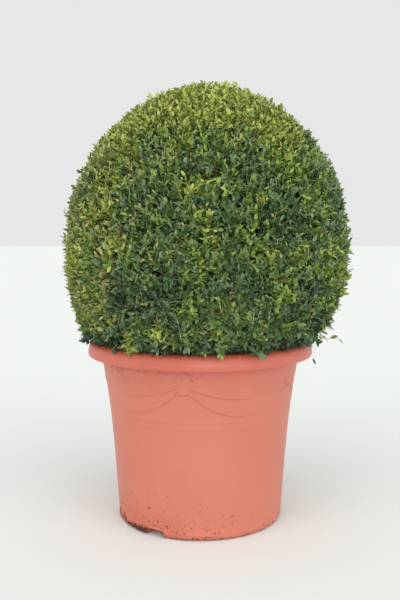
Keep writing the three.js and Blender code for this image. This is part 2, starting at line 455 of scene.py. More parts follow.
def notchCutter(opts, degrees):
    # a block, narrowed at its top, laid across the foot
    outside, below = 0.014, 0.004
    depth = opts["notchDepth"] + outside
    height = opts["notchHeight"] + below
    middle = opts["footRadius"] - opts["notchDepth"] + depth / 2
    block = added(bpy.ops.mesh.primitive_cube_add, size=1, location=(0, -middle, height / 2 - below),
                  scale=(opts["notchBottom"], depth, height))
    settle(block)
    for corner in block.data.vertices:
        if corner.co.z > 0:
            corner.co.x *= opts["notchTop"] / opts["notchBottom"]
    block.rotation_euler = (0, 0, math.radians(degrees))
    settle(block)
    return block


def drainCutter(opts, index):
    angle = 2 * math.pi * (index + 0.5) / opts["drainHoles"]
    ring = opts["drainHoleRing"]
    return added(bpy.ops.mesh.primitive_cylinder_add, vertices=24, radius=opts["drainHoleRadius"],
                 depth=0.03, location=(ring * math.cos(angle), ring * math.sin(angle), 0))


def cutAway(piece, cutter):
    reshaped(piece, "BOOLEAN", operation="DIFFERENCE", solver="EXACT", object=cutter)
    bpy.data.objects.remove(cutter)


wornMiddle = -0.0135  # the garland has worn flat to both sides of this

garland = {
    "count": 5,
    "firstKnot": -9.6,  # degrees from the front
    "knotHeight": 0.2485,
    "upperEnd": 0.26,  # where each line would meet its neighbour behind the knot
    "upperSag": 0.0245,
    "lowerEnd": 0.255,
    "lowerSag": 0.0485,
    "cordRadius": 0.0008,
    "sunk": 0.3,  # what is left of a cord where it has worn flat
    "wearStart": 0.068,  # how far aside it begins to wear, and over what distance it is gone
    "wearOver": 0.05,
    "crispStart": 0.143,  # and where it is whole again near the outlines
    "crispOver": 0.015,
    "belly": 0.0007,  # how far the cloth swells from the wall
    "backing": 0.0006,  # thickness of the cloth, most of it inside the wall
    "knotShare": 0.11,  # part of each half swag that the knot covers
    "knotHalfTurn": 3.9,
    "knotSag": 0.0038,
    "steps": 30,
    # the cords' finish, darker than the wall: painted shade along the crease lines, which gives way to the
    # wall's colour where the cords are worn
    "crease": {
        "color": (0.445, 0.112, 0.07),
        "faded": (0.465, 0.122, 0.078),
        "worn": (0.506, 0.15, 0.096),
        "fades": (0.072, 0.115),  # the same stretch in the colour
        "returns": (0.145, 0.158),
        "fainter": (-0.045, -0.028, 0.55, 0.0),
    },
}


def swagHeight(opts, share, line):
    # share runs from -1 to 1 between two knots
    return opts[line + "End"] - opts[line + "Sag"] * (1 - abs(share) ** 2.15)


def swagAngle(opts, middle, share):
    return middle + 180 / opts["count"] * share


def cord(opts, places, radii):
    # a thin rounded crease laid along points on the wall
    curve = setAll(bpy.data.curves.new("swag_cord", "CURVE"),
                   {"dimensions": "3D", "bevel_depth": opts["cordRadius"], "bevel_resolution": 2,
                    "use_fill_caps": True})
    spline = curve.splines.new("POLY")
    spline.points.add(len(places) - 1)
    for point, place, radius in zip(spline.points, places, radii):
        point.co = (*place, 1)
        point.radius = radius
    piece = bpy.data.objects.new("swag_cord", curve)
    bpy.context.scene.collection.objects.link(piece)
    selectOnly(piece)
    bpy.ops.object.convert(target="MESH")
    # the caps come out loose, so they are merged with the cord
    bpy.ops.object.mode_set(mode="EDIT")
    bpy.ops.mesh.select_all(action="SELECT")
    bpy.ops.mesh.remove_doubles(threshold=1e-6)
    facesOutwards()
    return bpy.context.object


def swagCord(opts, middle, line):
    shares = [(-1 + 2 * i / opts["steps"]) * (1 - opts["knotShare"]) for i in range(opts["steps"] + 1)]
    places = [onWall(swagAngle(opts, middle, s), swagHeight(opts, s, line), -0.0001) for s in shares]
    return cord(opts, places, [opts["sunk"] + (1 - opts["sunk"]) * crispness(opts, p.x) for p in places])


def crispness(opts, x):
    # 1 where the moulding is crisp, 0 where it has worn flat
    aside = abs(x - wornMiddle)
    worn = min(max((aside - opts["wearStart"]) / opts["wearOver"], 0), 1)
    return 1 - worn + min(max((aside - opts["crispStart"]) / opts["crispOver"], 0), 1)


def knotCord(opts, degrees):
    # the line round the underside of each knot
    shares = [-1 + 2 * i / 10 for i in range(11)]
    places = []
    for share in shares:
        height = opts["knotHeight"] - 0.0015 - opts["knotSag"] * (1 - abs(share) ** 2.4)
        places.append(onWall(degrees - 0.3 + opts["knotHalfTurn"] * share, height, -0.0001))
    return cord(opts, places, [0.55 + 0.55 * (1 - share * share) for share in shares])


def swagCloth(opts, middle):
    # a thin swelling of the wall between the two cords
    cloth = added(bpy.ops.mesh.primitive_grid_add, x_subdivisions=opts["steps"], y_subdivisions=8,
                  size=2)
    for corner in cloth.data.vertices:
        share, down = corner.co.x * (1 - opts["knotShare"]), (1 - corner.co.y) / 2
        upper, lower = swagHeight(opts, share, "upper"), swagHeight(opts, share, "lower")
        fold = 0.75 + 0.25 * math.cos(3 * 2 * math.pi * down)
        proud = opts["belly"] * fold * (1 - share ** 4) * math.sin(math.pi * down) - 0.0003
        height = upper + (lower - upper) * down
        corner.co = onWall(swagAngle(opts, middle, share), height, proud)
    reshaped(cloth, "SOLIDIFY", thickness=opts["backing"], offset=-1)
    return cloth


gathers = (
    # across, up, half width, half height: the round boss, and the fold where the cloth is gathered
    (0.0, 0.004, 0.0098, 0.0085),
    (-0.0235, -0.005, 0.0008, 0.006),
)


def knot(opts, degrees):
    parts = []
    for across, up, wide, tall in gathers:
        lobe = added(bpy.ops.mesh.primitive_uv_sphere_add, segments=24, ring_count=12, radius=1)
        lobe.scale = (wide, 0.0004, tall)
        turn = degrees + math.degrees(across / wallRadius(opts["knotHeight"]))
        lobe.location = onWall(turn, opts["knotHeight"] + up)
        lobe.rotation_euler = Euler((math.radians(6), 0, math.radians(turn)))
        settle(lobe)
        parts.append(lobe)
    return parts


def buildPot():
    body = spunByExtrusion("pot_shell", potProfile(potShape), potShape["facets"])
    cutters = [notchCutter(potShape, potShape["notchAngle"] + 120 * i) for i in range(3)]
    cutters += [drainCutter(potShape, i) for i in range(potShape["drainHoles"])]
    cutAway(body, joined(cutters, "pot_cutters"))
    finish = potMaterial(potFinish)
    # the cords take the darker finish: painted shade along the creases
    creased = potMaterial({**potFinish, **garland["crease"]}, "terracotta_plastic_crease")
    relief = []
    for index in range(garland["count"]):
        knotAngle = garland["firstKnot"] + 360 / garland["count"] * index
        middle = knotAngle + 180 / garland["count"]
        cords = [swagCord(garland, middle, line) for line in ("upper", "lower")]
        cords.append(knotCord(garland, knotAngle))
        cloths = [swagCloth(garland, middle), *knot(garland, knotAngle)]
        for part in cords + cloths:
            part.data.materials.append(creased if part in cords else finish)
        relief += cords + cloths
    ornament = joined(relief, "pot_garland")
    body.data.materials.clear()
    body.data.materials.append(finish)
    for piece in (body, ornament):
        selectOnly(piece)
        bpy.ops.object.shade_smooth_by_angle(angle=math.radians(32))
    declare(body, "pot_plastic", "pot_body", "pot_lip")
    declare(ornament, "pot_plastic")


buildPot()
print("pot built")


# soil in the pot, and the crumbs that stick to its foot

soilLook = {
    "rings": 26,
    "facets": 72,
    "sunk": 0.003,  # the mean surface under the highest lump
    "rim": 0.006,  # level strip along the pot
    "lumps": 0.0035,
    "floorRadius": 0.1034,  # half a millimetre or so inside the pot's floor, ring and wall
    "ringRadius": 0.1134,
    "ringRise": 0.0097,
    "wallStart": 0.0176,
    "wallInset": 0.0037,
    "crumbs": 420,
    "lowestClod": 0.0019,  # so that none reaches under the floor
    "perBlot": 3,
    "stuck": (  # degrees from the front, spread, number, reach up the wall in mm
        (-43, 3.2, 50, 3.6), (-45, 2.6, 40, 8), (-55, 5, 40, 6), (-68, 6, 50, 10), (-21, 4, 12, 4),
        (-4, 8, 20, 3), (14, 7, 10, 3), (38, 14, 16, 3), (-25, 20, 20, 20), (120, 60, 70, 4),
        (-120, 40, 50, 4),
    ),
    "clods": (  # degrees, height in mm, their two spreads, number
        (-43.6, 7, 2.4, 1.9, 110), (-50.5, 7.8, 1.9, 1.4, 40), (-39.6, 7, 0.7, 2.8, 60),
        (-25.7, 10, 0.4, 2, 12), (-55.5, 8.5, 1.2, 1.2, 12), (-63.5, 10.8, 1.2, 2, 20),
        (-78, 8.5, 1.2, 3.5, 24),
    ),
    "blots": (  # larger crumbs standing alone: degrees, height in mm
        (-18, 14), (-15.5, 13), (-10.5, 12.5), (-4.5, 5.5), (-1.5, 5), (4, 7.5), (9.5, 13),
        (12.5, 13), (21.5, 2.5), (-35, 48), (-31.5, 20), (-26, 16), (-29, 29), (-35.5, 24),
        (-40, 30), (-22.5, 23),
    ),
}


def crumbs(places, sizes, seed, material, name):
    # small broken lumps, each a bent twenty-sided ball
    rng = np.random.default_rng(seed)
    ball = added(bpy.ops.mesh.primitive_ico_sphere_add, subdivisions=1, radius=1)
    corners = np.array([v.co for v in ball.data.vertices])
    faces = np.array([p.vertices[:] for p in ball.data.polygons])
    bpy.data.objects.remove(ball)
    lump = 1 + rng.uniform(-0.35, 0.35, (len(places), len(corners), 1))
    squeeze = rng.uniform(0.6, 1.1, (len(places), 1, 3))
    verts = corners[None] * lump * squeeze * np.asarray(sizes)[:, None, None]
    return meshFrom(name, verts + np.asarray(places)[:, None, :], faces, material, False)


def soilProfile(opts, level):
    rows = [(0.001, soilLow.z), (opts["floorRadius"], soilLow.z),
            (opts["ringRadius"], soilLow.z + opts["ringRise"])]
    for step in range(9):
        height = opts["wallStart"] + (level - opts["wallStart"]) * step / 8
        rows.append((wallRadius(height) - opts["wallInset"], height))
    inward = [soilHigh.x * (1 - ring / opts["rings"]) for ring in range(1, opts["rings"])]
    return rows + [(radius + 0.001, level) for radius in inward]


def splashes(opts, rng):
    # place and size of each crumb that sticks to the pot's foot, clear of the notches
    spots = []
    for middle, spread, count, reach in opts["stuck"]:
        for _ in range(count):
            degrees, height = rng.gauss(middle, spread), 0.0014 + abs(rng.gauss(0, reach / 1000))
            size = rng.uniform(0.0004, 0.0013)
            if not inNotch(degrees) or height >= potShape["notchHeight"] + 0.002:
                spots.append((onFoot(degrees, height), size))
    for middle, height, across, up, count in opts["clods"]:
        for _ in range(count):
            degrees, rise = rng.gauss(middle, across), rng.gauss(height / 1000, up / 1000)
            rise = max(opts["lowestClod"], rise)
            size = rng.uniform(0.0006, 0.0015)
            if not inNotch(degrees, rise, 0.1):
                spots.append((onFoot(degrees, rise), size))
    for degrees, height in opts["blots"]:
        for _ in range(opts["perBlot"]):
            place = onFoot(degrees + rng.gauss(0, 0.35), height / 1000 + rng.gauss(0, 0.0007))
            spots.append((place, rng.uniform(0.0007, 0.0013)))
    return zip(*spots)


def buildSoil(opts):
    level = soilHigh.z - opts["sunk"]
    soil = spunByExtrusion("soil_fill", soilProfile(opts, level), opts["facets"])
    for corner in soil.data.vertices:
        x, y, z = corner.co
        if z > level - 0.001 and math.hypot(x, y) < soilHigh.x - opts["rim"]:
            x, y = x * 100, y * 100
            broad = math.sin(x * 1.7 + math.sin(y * 2.1)) * math.cos(y * 1.9)
            fine = math.sin(x * 5.3 + y * 3.7) * math.cos(y * 6.1 - x)
            corner.co.z += opts["lumps"] * (broad * 0.5 + fine * 0.4)
    material = soilMaterial("potting_soil_crumb", (0.018, 0.012, 0.009), (0.085, 0.055, 0.037))
    soil.data.materials.append(material)
    rng = random.Random(5)
    places, sizes = [], []
    for _ in range(opts["crumbs"]):
        angle, away = rng.uniform(0, 2 * math.pi), soilHigh.x * 0.96 * math.sqrt(rng.random())
        places.append((away * math.cos(angle), away * math.sin(angle), level + rng.uniform(0, 0.003)))
        sizes.append(rng.uniform(0.0012, 0.0042))
    loose = crumbs(places, sizes, 6, material, "soil_crumbs")
    washed = soilMaterial("washed_soil", (0.06, 0.018, 0.012), (0.15, 0.046, 0.028))
    stuck = crumbs(*splashes(opts, rng), 7, washed, "soil_splashes")
    declare(soil, "soil", "potting_soil")
    declare(loose, "soil")
    declare(stuck, "soil")


buildSoil(soilLook)
print("soil filled")


# the crown's clipped outline, shared by limbs, twigs and leaves

crownShape = {
    "centre": Vector((0.0119, 0.0, 0.4727)),
    "radius": 0.244,
    "halfHeight": 0.2755,
    "fullness": 1.85,
    "footShift": 0.0032,
    "footBlend": 0.1,
    "unevenness": 0.003,
}


def crownShare(height):
    # -1 at the foot of the crown's ball, 1 at its top
    return (height - crownShape["centre"].z) / crownShape["halfHeight"]


def crownSkin(share, azimuth):
    # points of the clipped surface for arrays of height shares and azimuths
    shape = crownShape
    power = np.where(share > 0, 1 / shape["fullness"], 0.5)
    level = np.clip(1 - share ** 2, 0, 1) ** power
    height = shape["centre"].z + shape["halfHeight"] * share
    settled = np.clip((height - crownLow.z) / shape["footBlend"], 0, 1)
    shift = shape["footShift"] + (shape["centre"].x - shape["footShift"]) * settled
    x, y = np.cos(azimuth) * level, np.sin(azimuth) * level
    broad = np.sin(4.1 * x + 2.3 * share + 0.7) * np.cos(3.7 * y - 1.9 * share)
    fine = np.sin(9.3 * x - 5.1 * y + 1.3) * np.cos(8.7 * share + 3.9 * y)
    swell = shape["unevenness"] * (0.6 * broad + 0.4 * fine) * np.minimum(1, level * 3)
    reach = shape["radius"] * level + swell
    return np.stack([shift + np.cos(azimuth) * reach, np.sin(azimuth) * reach, height], axis=1)


def crownNormal(points):
    shape = crownShape
    away = points - np.array(shape["centre"])
    away = away / np.array([shape["radius"] ** 2, shape["radius"] ** 2, shape["halfHeight"] ** 2])
    return away / np.linalg.norm(away, axis=1, keepdims=True)


def spreadOver(count, rng, jitter, lowest):
    # evenly scattered places on the clipped surface
    order = np.arange(count) + 0.5
    lowShare = crownShare(lowest)
    share = lowShare + (0.998 - lowShare) * order / count
    azimuth = order * math.pi * (3 - math.sqrt(5))
    step = math.sqrt(4 * math.pi / count)
    share = np.clip(share + rng.normal(0, jitter * step, count) * np.sqrt(1 - share ** 2), lowShare, 0.998)
    azimuth = azimuth + rng.normal(0, jitter * step, count) / np.sqrt(1.02 - share ** 2)
    return crownSkin(share, azimuth)


def nearest(points, parents):
    tree = KDTree(len(parents))
    for index, place in enumerate(parents):
        tree.insert(place, index)
    tree.balance()
    return np.array([tree.find(p)[1] for p in points])


def unit(vectors):
    return vectors / np.maximum(np.linalg.norm(vectors, axis=-1, keepdims=True), 1e-9)


def squared(face, blade):
    # face, turned square to the blade
    return unit(face - blade * np.sum(face * blade, axis=-1, keepdims=True))


def limbMesh(name, paths, radii, sides, material, ridge=0.0):
    # tapering limbs, closed at both ends; paths is limbs x steps x 3, radii one row for each or for all
    count, steps, _ = paths.shape
    along = unit(np.gradient(paths, axis=1))
    guess = np.where(np.abs(along[:, :1, 2:3]) > 0.8, [1.0, 0, 0], [0, 0, 1.0])
    across = unit(np.cross(along, np.broadcast_to(guess, along.shape)))
    up = np.cross(along, across)
    angle = 2 * np.pi * np.arange(sides) / sides
    row = np.arange(steps)[:, None]
    furrow = 1 + ridge * (np.sin(angle * 5 + row * 0.8) + np.sin(angle * 3 - row * 1.7))
    ring = across[:, :, None] * np.cos(angle)[:, None] + up[:, :, None] * np.sin(angle)[:, None]
    rings = paths[:, :, None] + ring * (radii[:, :, None] * furrow[None])[..., None]
    foot = paths[:, 0] - along[:, 0] * radii[:, :1] * 0.5
    tip = paths[:, -1] + along[:, -1] * radii[:, -1:] * 0.5
    verts = np.concatenate([rings.reshape(count, -1, 3), foot[:, None], tip[:, None]], axis=1)
    a = np.arange(sides)
    b = (a + 1) % sides
    start = np.arange(steps - 1)[:, None] * sides
    low = np.stack([start + a, start + sides + b, start + b], axis=-1).reshape(-1, 3)
    high = np.stack([start + a, start + sides + a, start + sides + b], axis=-1).reshape(-1, 3)
    end = (steps - 1) * sides
    footFan = np.stack([np.full(sides, steps * sides), a, b], axis=-1)
    tipFan = np.stack([np.full(sides, steps * sides + 1), end + b, end + a], axis=-1)
    return meshFrom(name, verts, np.concatenate([low, high, footFan, tipFan])[:, ::-1], material)


def growPaths(starts, startDirections, ends, steps, rng, wobble):
    # curves that leave along their parent and bend towards their own end
    t = np.linspace(0, 1, steps)[None, :, None]
    length = np.linalg.norm(ends - starts, axis=1)[:, None]
    handle = starts + startDirections * length * 0.45
    starts, handle, ends = starts[:, None], handle[:, None], ends[:, None]
    paths = (1 - t) ** 2 * starts + 2 * t * (1 - t) * handle + t ** 2 * ends
    shake = rng.normal(0, 1, paths.shape) * (wobble * length)[:, None]
    shake[:, 0] = shake[:, -1] = 0
    return paths + shake


def taper(starts, ends, steps):
    t = np.linspace(0, 1, steps)[None]
    return np.reshape(starts, (-1, 1)) * (1 - t) + np.reshape(ends, (-1, 1)) * t


# stem and limbs

wood = {
    "stemRadius": 0.02,
    "stemFlare": 0.011,  # at its foot, in five lobes
    "stemLobes": 0.28,
    "forkFlare": 0.004,
    "boughs": 5,
    "boughTurn": 17,
    "boughRing": 0.0145,
    "boughReach": 0.041,
    "boughRadii": (0.0078, 0.0058),
    "boughRise": 0.062,
    "ranks": (  # how far out each rank ends, its last radius, sides and steps
        ("limbs", 0.52, 0.0034, 8, 9),
        ("branches", 0.76, 0.0019, 6, 7),
        ("branchlets", 0.885, 0.0011, 4, 5),
    ),
    "limbs": 30,
    "branches": 190,
    "branchlets": 1150,
    "seed": 11,
}
stemFoot = Vector((0.004, -0.003, stemLow.z))
fork = Vector((0.009, 0.0, stemHigh.z))


def buildStem(opts, material):
    # a short trunk with a flared foot, pushed out into ridges
    rows = 9
    stem = added(bpy.ops.mesh.primitive_cylinder_add, vertices=40, radius=1, depth=1,
                 end_fill_type="TRIFAN")
    stem.name = stem.data.name = "stem_bark"
    bpy.ops.object.mode_set(mode="EDIT")
    for row in range(1, rows):
        bpy.ops.mesh.select_all(action="SELECT")
        bpy.ops.mesh.bisect(plane_co=(0, 0, -0.5 + row / rows), plane_no=(0, 0, 1))
    bpy.ops.object.mode_set(mode="OBJECT")
    for corner in stem.data.vertices:
        up = corner.co.z + 0.5
        angle = math.atan2(corner.co.y, corner.co.x)
        lobes = 1 + opts["stemLobes"] * math.sin(5 * angle + 0.6)
        radius = opts["stemRadius"] + opts["stemFlare"] * (1 - up) ** 2 * lobes
        radius += opts["forkFlare"] * up ** 2
        radius += 0.0007 * math.sin(13 * angle + 5 * up) + 0.0004 * math.sin(29 * angle - 9 * up)
        flat = math.hypot(corner.co.x, corner.co.y)
        middle = stemFoot.lerp(fork, up)
        corner.co = (middle.x + math.cos(angle) * radius * flat,
                     middle.y + math.sin(angle) * radius * flat, middle.z)
    stem.data.materials.append(material)
    selectOnly(stem)
    bpy.ops.object.shade_smooth_by_angle(angle=math.radians(50))
    return stem


def buildWood(opts):
    bark = barkMaterial("box_bark", (0.16, 0.125, 0.08), (0.36, 0.3, 0.2))
    rng = np.random.default_rng(opts["seed"])
    declare(buildStem(opts, bark), "bark", "stem")
    forkPoint = np.array(fork)
    feet, tips = [], []
    for index in range(opts["boughs"]):
        turn = math.radians(360 * index / opts["boughs"] + opts["boughTurn"])
        outward = np.array([math.sin(turn), -math.cos(turn), 0])
        reach = opts["boughReach"] * (1 + 0.12 * math.sin(index * 2.3))
        feet.append(forkPoint + outward * opts["boughRing"] + [0, 0, 0.0003])
        tips.append(forkPoint + outward * reach * 1.55 + [0, 0, opts["boughRise"]])
    feet, tips = np.array(feet), np.array(tips)
    upward = np.tile([0, 0, 1.0], (len(feet), 1))
    paths = growPaths(feet, upward, tips, 12, rng, 0.004)
    for index in range(opts["boughs"]):
        bough = limbMesh(f"bough_bark_{index + 1}", paths[index:index + 1],
                         taper(*opts["boughRadii"], 12), 20, bark, 0.035)
        declare(bough, "bark", f"bough_{index + 1}")

    # three ranks of branching, each ending deeper or shallower under the clipped surface
    heart = np.array([fork.x, fork.y, fork.z + 0.1])
    parents, directions = tips, unit(paths[:, -1] - paths[:, -2])
    thick = 0.0055
    for name, depth, endRadius, sides, steps in opts["ranks"]:
        skin = spreadOver(opts[name], rng, 0.3, crownLow.z + 0.012)
        ends = heart + (skin - heart) * depth * rng.uniform(0.96, 1.03, (len(skin), 1))
        owner = nearest(ends, parents)
        paths = growPaths(parents[owner], directions[owner], ends, steps, rng, 0.02)
        radii = taper(min(thick * 0.8, endRadius * 2), endRadius, steps)
        declare(limbMesh(f"crown_{name}", paths, radii, sides, bark, 0.03), "bark", "clipped_crown")
        parents, directions = ends, unit(paths[:, -1] - paths[:, -2])
        thick = endRadius
    return parents, owner


branchletEnds, branchOf = buildWood(wood)
print("stem and limbs grown")


# sprays of leaves

foliage = {
    "seed": 41,
    "sprays": 7500,
    "skirtSprays": 280,  # the lowest ring, which lies on the pot's lip
    "pairs": 8,
    "leafLength": 0.0123,
    "leafSpread": 0.0025,
    "leafWidth": 0.43,  # share of the length
    "leafOpening": 1.02,  # radians between a leaf and its twig
    "sprayDepth": 0.038,  # how far under the surface a spray bends outwards
    "looseShare": 0.005,  # sprays that stand out of the clipped surface, and how far
    "looseReach": (0.004, 0.009),
    "bareShare": 0.22,  # lower part of each twig that has dropped its leaves
    "upward": 0.55,  # how strongly shoots turn to the light
    "lumps": 0.003,
    "twigRadius": 0.00055,
    "innerLeaves": 13000,  # old, larger leaves on the branchlets
    "innerLength": 0.0175,
    "innerWidth": 0.52,
    # their colour, lighter than the deep and dark leaves outside, is painted light that lifts the shade
    # deep in the crown
    "innerLook": ((0.2, 0.28, 0.11), 0.5),
    "innerDepth": (0.005, 0.035),
    "stubs": 1200,  # clipped bare ends that reach the surface
    "stubLength": 0.014,
    "stubRadii": (0.00045, 0.0003),
    "youth": 0.19,  # of the growth everywhere, and more on the top, the left flank and the right
    "topYouth": 0.82,
    "flankYouth": 0.21,
    "farFlankYouth": 0.1,
    "byBranch": 0.05,  # how much youth differs between branches, branchlets and sprays
    "byBranchlet": 0.15,
    "bySpray": 0.06,
    "youngSpots": (  # degrees from the front, height and reach in mm, new growth in percent
        (-84, 470, 50, 34), (-60, 470, 36, 33), (-52, 530, 34, 28), (-52, 440, 34, 3),
        (-38, 540, 22, 18), (-60, 610, 45, -11), (-34, 324, 18, 95), (-19, 342, 12, 55),
        (-35, 488, 30, 33), (-25, 420, 36, -30), (-12, 455, 22, -28), (-18, 530, 18, 25),
        (-8, 615, 40, -13), (-18, 430, 70, -7), (-30, 560, 20, -11), (3, 560, 20, 15),
        (8, 370, 40, 7), (17, 470, 20, 31), (18, 430, 26, -25), (28, 660, 30, -8),
        (38, 606, 22, 21), (33, 475, 22, 38), (31, 412, 20, 16), (36, 655, 26, 36),
        (48, 460, 20, 11), (58, 540, 55, -8), (88, 400, 30, 28), (-52, 664, 26, -13),
        (28, 592, 20, -15), (0, 584, 16, 16), (-42, 564, 20, 16), (6, 558, 14, -18),
        (33, 536, 18, -13), (-40, 464, 18, 11), (-12, 405, 22, -11), (-34, 385, 26, -21),
        (14, 372, 16, 11), (-15, 630, 16, 15), (52, 664, 22, 15), (19, 560, 14, 15),
        (6, 422, 18, -13), (40, 416, 18, -8), (27, 384, 16, -10), (69, 526, 30, -11),
        (63, 488, 18, 8), (-45, 662, 24, -13), (20, 656, 22, -14), (-35, 618, 22, 11),
        (1, 576, 12, 12), (-30, 530, 24, -12), (54, 548, 24, 12), (1, 446, 16, 14),
        (30, 424, 18, 14), (51, 445, 24, 9), (-13, 330, 8, 60), (2, 706, 26, 12),
        (-43, 634, 26, 17), (-76, 690, 30, 16), (-20, 602, 16, 7), (-66, 406, 24, 6),
    ),
    "seededTufts": 150,  # small tufts, lighter or darker than what is round them
    "tuftReach": (0.008, 0.018),
    "tuftYouth": 0.28,
    "hollows": (  # degrees, then height, reach and depth in mm
        (-4, 332, 13, 20), (-22, 372, 12, 12), (38, 385, 12, 11), (46, 329, 14, 10),
        (58, 329, 16, 13), (70, 332, 18, 18), (82, 332, 18, 16), (-11, 330, 10, 12),
        (10, 328, 10, 10), (24, 328, 11, 11), (36, 328, 10, 9),
    ),
    "sheenShare": 0.14,  # leaves whose colour holds a painted sheen, and old yellow ones
    "tanShare": 0.01,
    "hemShade": 0.75,  # how much less youth the lowest leaves have, which deals them the darkest green: painted shade where they hang under the crown
    "hemReach": 0.03,  # height over the lip at which that ends
    "seededHollows": 14,
    "hollowDepth": (0.002, 0.005),
}

strayTwigs = (
    # where it leaves the crown, knee, tip, thickness at its foot, all in mm
    ((186, -20, 322), (214, -20, 310.5), (238.5, -20, 314.5), 0.6),
    ((183, -20, 306), (197.5, -20, 306), (199, -20, 293.5), 0.45),
    ((198.5, -20, 296), (201, -20, 287), (195, -20, 278.5), 0.22),
    ((238, 0, 410), (248, 0, 414), (259.5, 0, 407.5), 0.6),
    ((233, 0, 386), (243, 0, 389), (249, 0, 389), 0.6),
    ((240, 0, 409), (247, 0, 410), (252, 0, 414), 0.6),
)
strayLeaves = (
    # foot and tip in mm, width in percent of the length, green
    ((225, -20, 314.5), (238, -24, 319), 46, "olive"),
    ((238.5, -20, 314.5), (249.5, -16, 300.5), 13, "deep"),
    ((218, -20, 314), (206.5, -26, 320), 34, "olive"),
    ((214.5, -20, 314), (222.5, -18, 306), 13, "olive"),
    ((206, -20, 327.5), (221.5, -24, 321.5), 24, "deep"),
    ((215, -20, 339.5), (231.5, -24, 328.5), 17, "deep"),
    ((223.5, -20, 350), (231.5, -24, 342.5), 40, "dark"),
    ((198.5, -20, 317), (205.5, -30, 300.5), 20, "deep"),
    ((195, -20, 279), (200, -23, 268.5), 30, "withered"),
    ((233, -20, 373), (246.5, -22, 372), 12, "sheen"),
    ((251, 0, 413), (264, -4, 425), 50, "lime"),
    ((248, 0, 388.5), (260.5, -3, 390), 46, "fresh"),
    ((256, 0, 479), (263.5, -4, 489), 30, "deep"),
    ((31, -194, 316.5), (34, -200.5, 306.5), 40, "olive"),
    ((30, -194, 316.5), (26, -199.5, 310.5), 45, "fresh"),
    ((31, -193, 318), (37, -198.5, 313), 42, "mid"),
    ((6.5, -195, 318), (8, -199.5, 311), 45, "olive"),
    ((5, -194, 318.5), (0, -198.5, 314), 42, "fresh"),
)

leafGreens = {
    # name: base colour, roughness
    # painted shade: the darkest green, dealt to the lowest leaves over the lip
    "shaded": ((0.04, 0.066, 0.03), 0.5),
    "deep": ((0.09, 0.162, 0.064), 0.42),
    "dark": ((0.131, 0.216, 0.058), 0.42),
    "mid": ((0.2, 0.292, 0.052), 0.43),
    "fresh": ((0.306, 0.368, 0.07), 0.46),
    "lime": ((0.384, 0.438, 0.096), 0.48),
    # painted sheen: a bluish grey-green for leaves that catch the light
    "sheen": ((0.145, 0.225, 0.125), 0.36),
    "olive": ((0.27, 0.3, 0.092), 0.5),
    "tan": ((0.36, 0.345, 0.125), 0.6),
    "withered": ((0.03, 0.026, 0.022), 0.7),
}
# youth up to which a leaf is shaded, deep, dark, mid or fresh
tierTops = (-0.14, 0.16, 0.34, 0.54, 0.8)

# in percent of a leaf: base, middle and tip of the rib, two points on each side, folded and bowed
leafShape = np.array([(0, 0, 0), (50, 0, 2), (100, 0, -6),
                      (28, 50, 7), (72, 42, 5), (28, -50, 7), (72, -42, 5)]) / 100
leafFaces = np.array([(0, 1, 3), (3, 1, 4), (1, 2, 4), (0, 5, 1), (5, 6, 1), (1, 6, 2)])


def bend(root, knee, tip, u):
    # a point on each twig's curve, and the twig's direction there
    place = (1 - u) ** 2 * root + 2 * u * (1 - u) * knee + u ** 2 * tip
    return place, unit(2 * (1 - u) * (knee - root) + 2 * u * (tip - knee))


def onCrown(degrees, height):
    # a point on the clipped surface, at an angle from the front
    return crownSkin(np.array([crownShare(height)]), np.array([math.radians(degrees - 90)]))[0]


def around(points, place, reach):
    # 1 at the place, fading out round it
    return np.exp(-(np.linalg.norm(points - place, axis=1) / reach) ** 2)


def hollowSpots(opts, skin, rng):
    # small hollows where the sprays stand back: place, reach and depth
    spots = [(onCrown(row[0], row[1] / 1000), row[2] / 1000, row[3] / 1000) for row in opts["hollows"]]
    for place in skin[rng.choice(len(skin), opts["seededHollows"], replace=False)]:
        spots.append((place, rng.uniform(0.009, 0.014), rng.uniform(*opts["hollowDepth"])))
    return spots


def dip(spots, places):
    depth = np.zeros(len(places))
    for place, reach, deep in spots:
        depth += deep * around(places, place, reach)
    return depth


def growTwigs(opts, carriers, rng):
    # tips scattered over the clipped surface, each on a twig from the nearest branchlet
    skin = spreadOver(opts["sprays"], rng, 0.33, crownLow.z + 0.006)
    normal = crownNormal(skin)
    x, y, z = (skin * 100).T
    lump = np.sin(x * 1.3 + 2 * np.sin(z * 0.7)) * np.cos(y * 1.5 - z * 0.9) + np.sin(z * 1.9 + y) * 0.5
    spots = hollowSpots(opts, skin, rng)
    depth = opts["lumps"] * (lump - 0.6) + rng.normal(-0.0015, 0.0018, len(skin)) - dip(spots, skin)
    stray = (rng.random(len(skin)) < opts["looseShare"]) & (skin[:, 2] > crownLow.z + 0.04)
    depth += stray * rng.uniform(*opts["looseReach"], len(skin))
    tips = skin + normal * depth[:, None]
    lean = unit(normal * 0.8 + [0, 0, opts["upward"]] + rng.normal(0, 0.34, skin.shape))

    # a last ring of sprays reaches out level over the lip
    count = opts["skirtSprays"]
    turn = 2 * math.pi * (np.arange(count) + rng.uniform(0, 1, count)) / count
    level = np.full(count, crownShare(crownLow.z + 0.004))
    outward = np.stack([np.cos(turn), np.sin(turn), np.zeros(count)], axis=1)
    hem = crownSkin(level, turn) - outward * rng.uniform(0.002, 0.016, (count, 1))
    hem -= outward * dip(spots, hem)[:, None]
    hem[:, 2] += rng.uniform(-0.001, 0.005, count)
    tips = np.concatenate([tips, hem])
    normal = np.concatenate([normal, outward])
    lean = np.concatenate([lean, unit(outward + [0, 0, 0.05] + rng.normal(0, 0.25, hem.shape))])

    knees = tips - lean * opts["sprayDepth"] * rng.uniform(0.85, 1.15, (len(tips), 1))
    carrier = nearest(knees, carriers)
    return carrier, carriers[carrier], knees, tips, normal


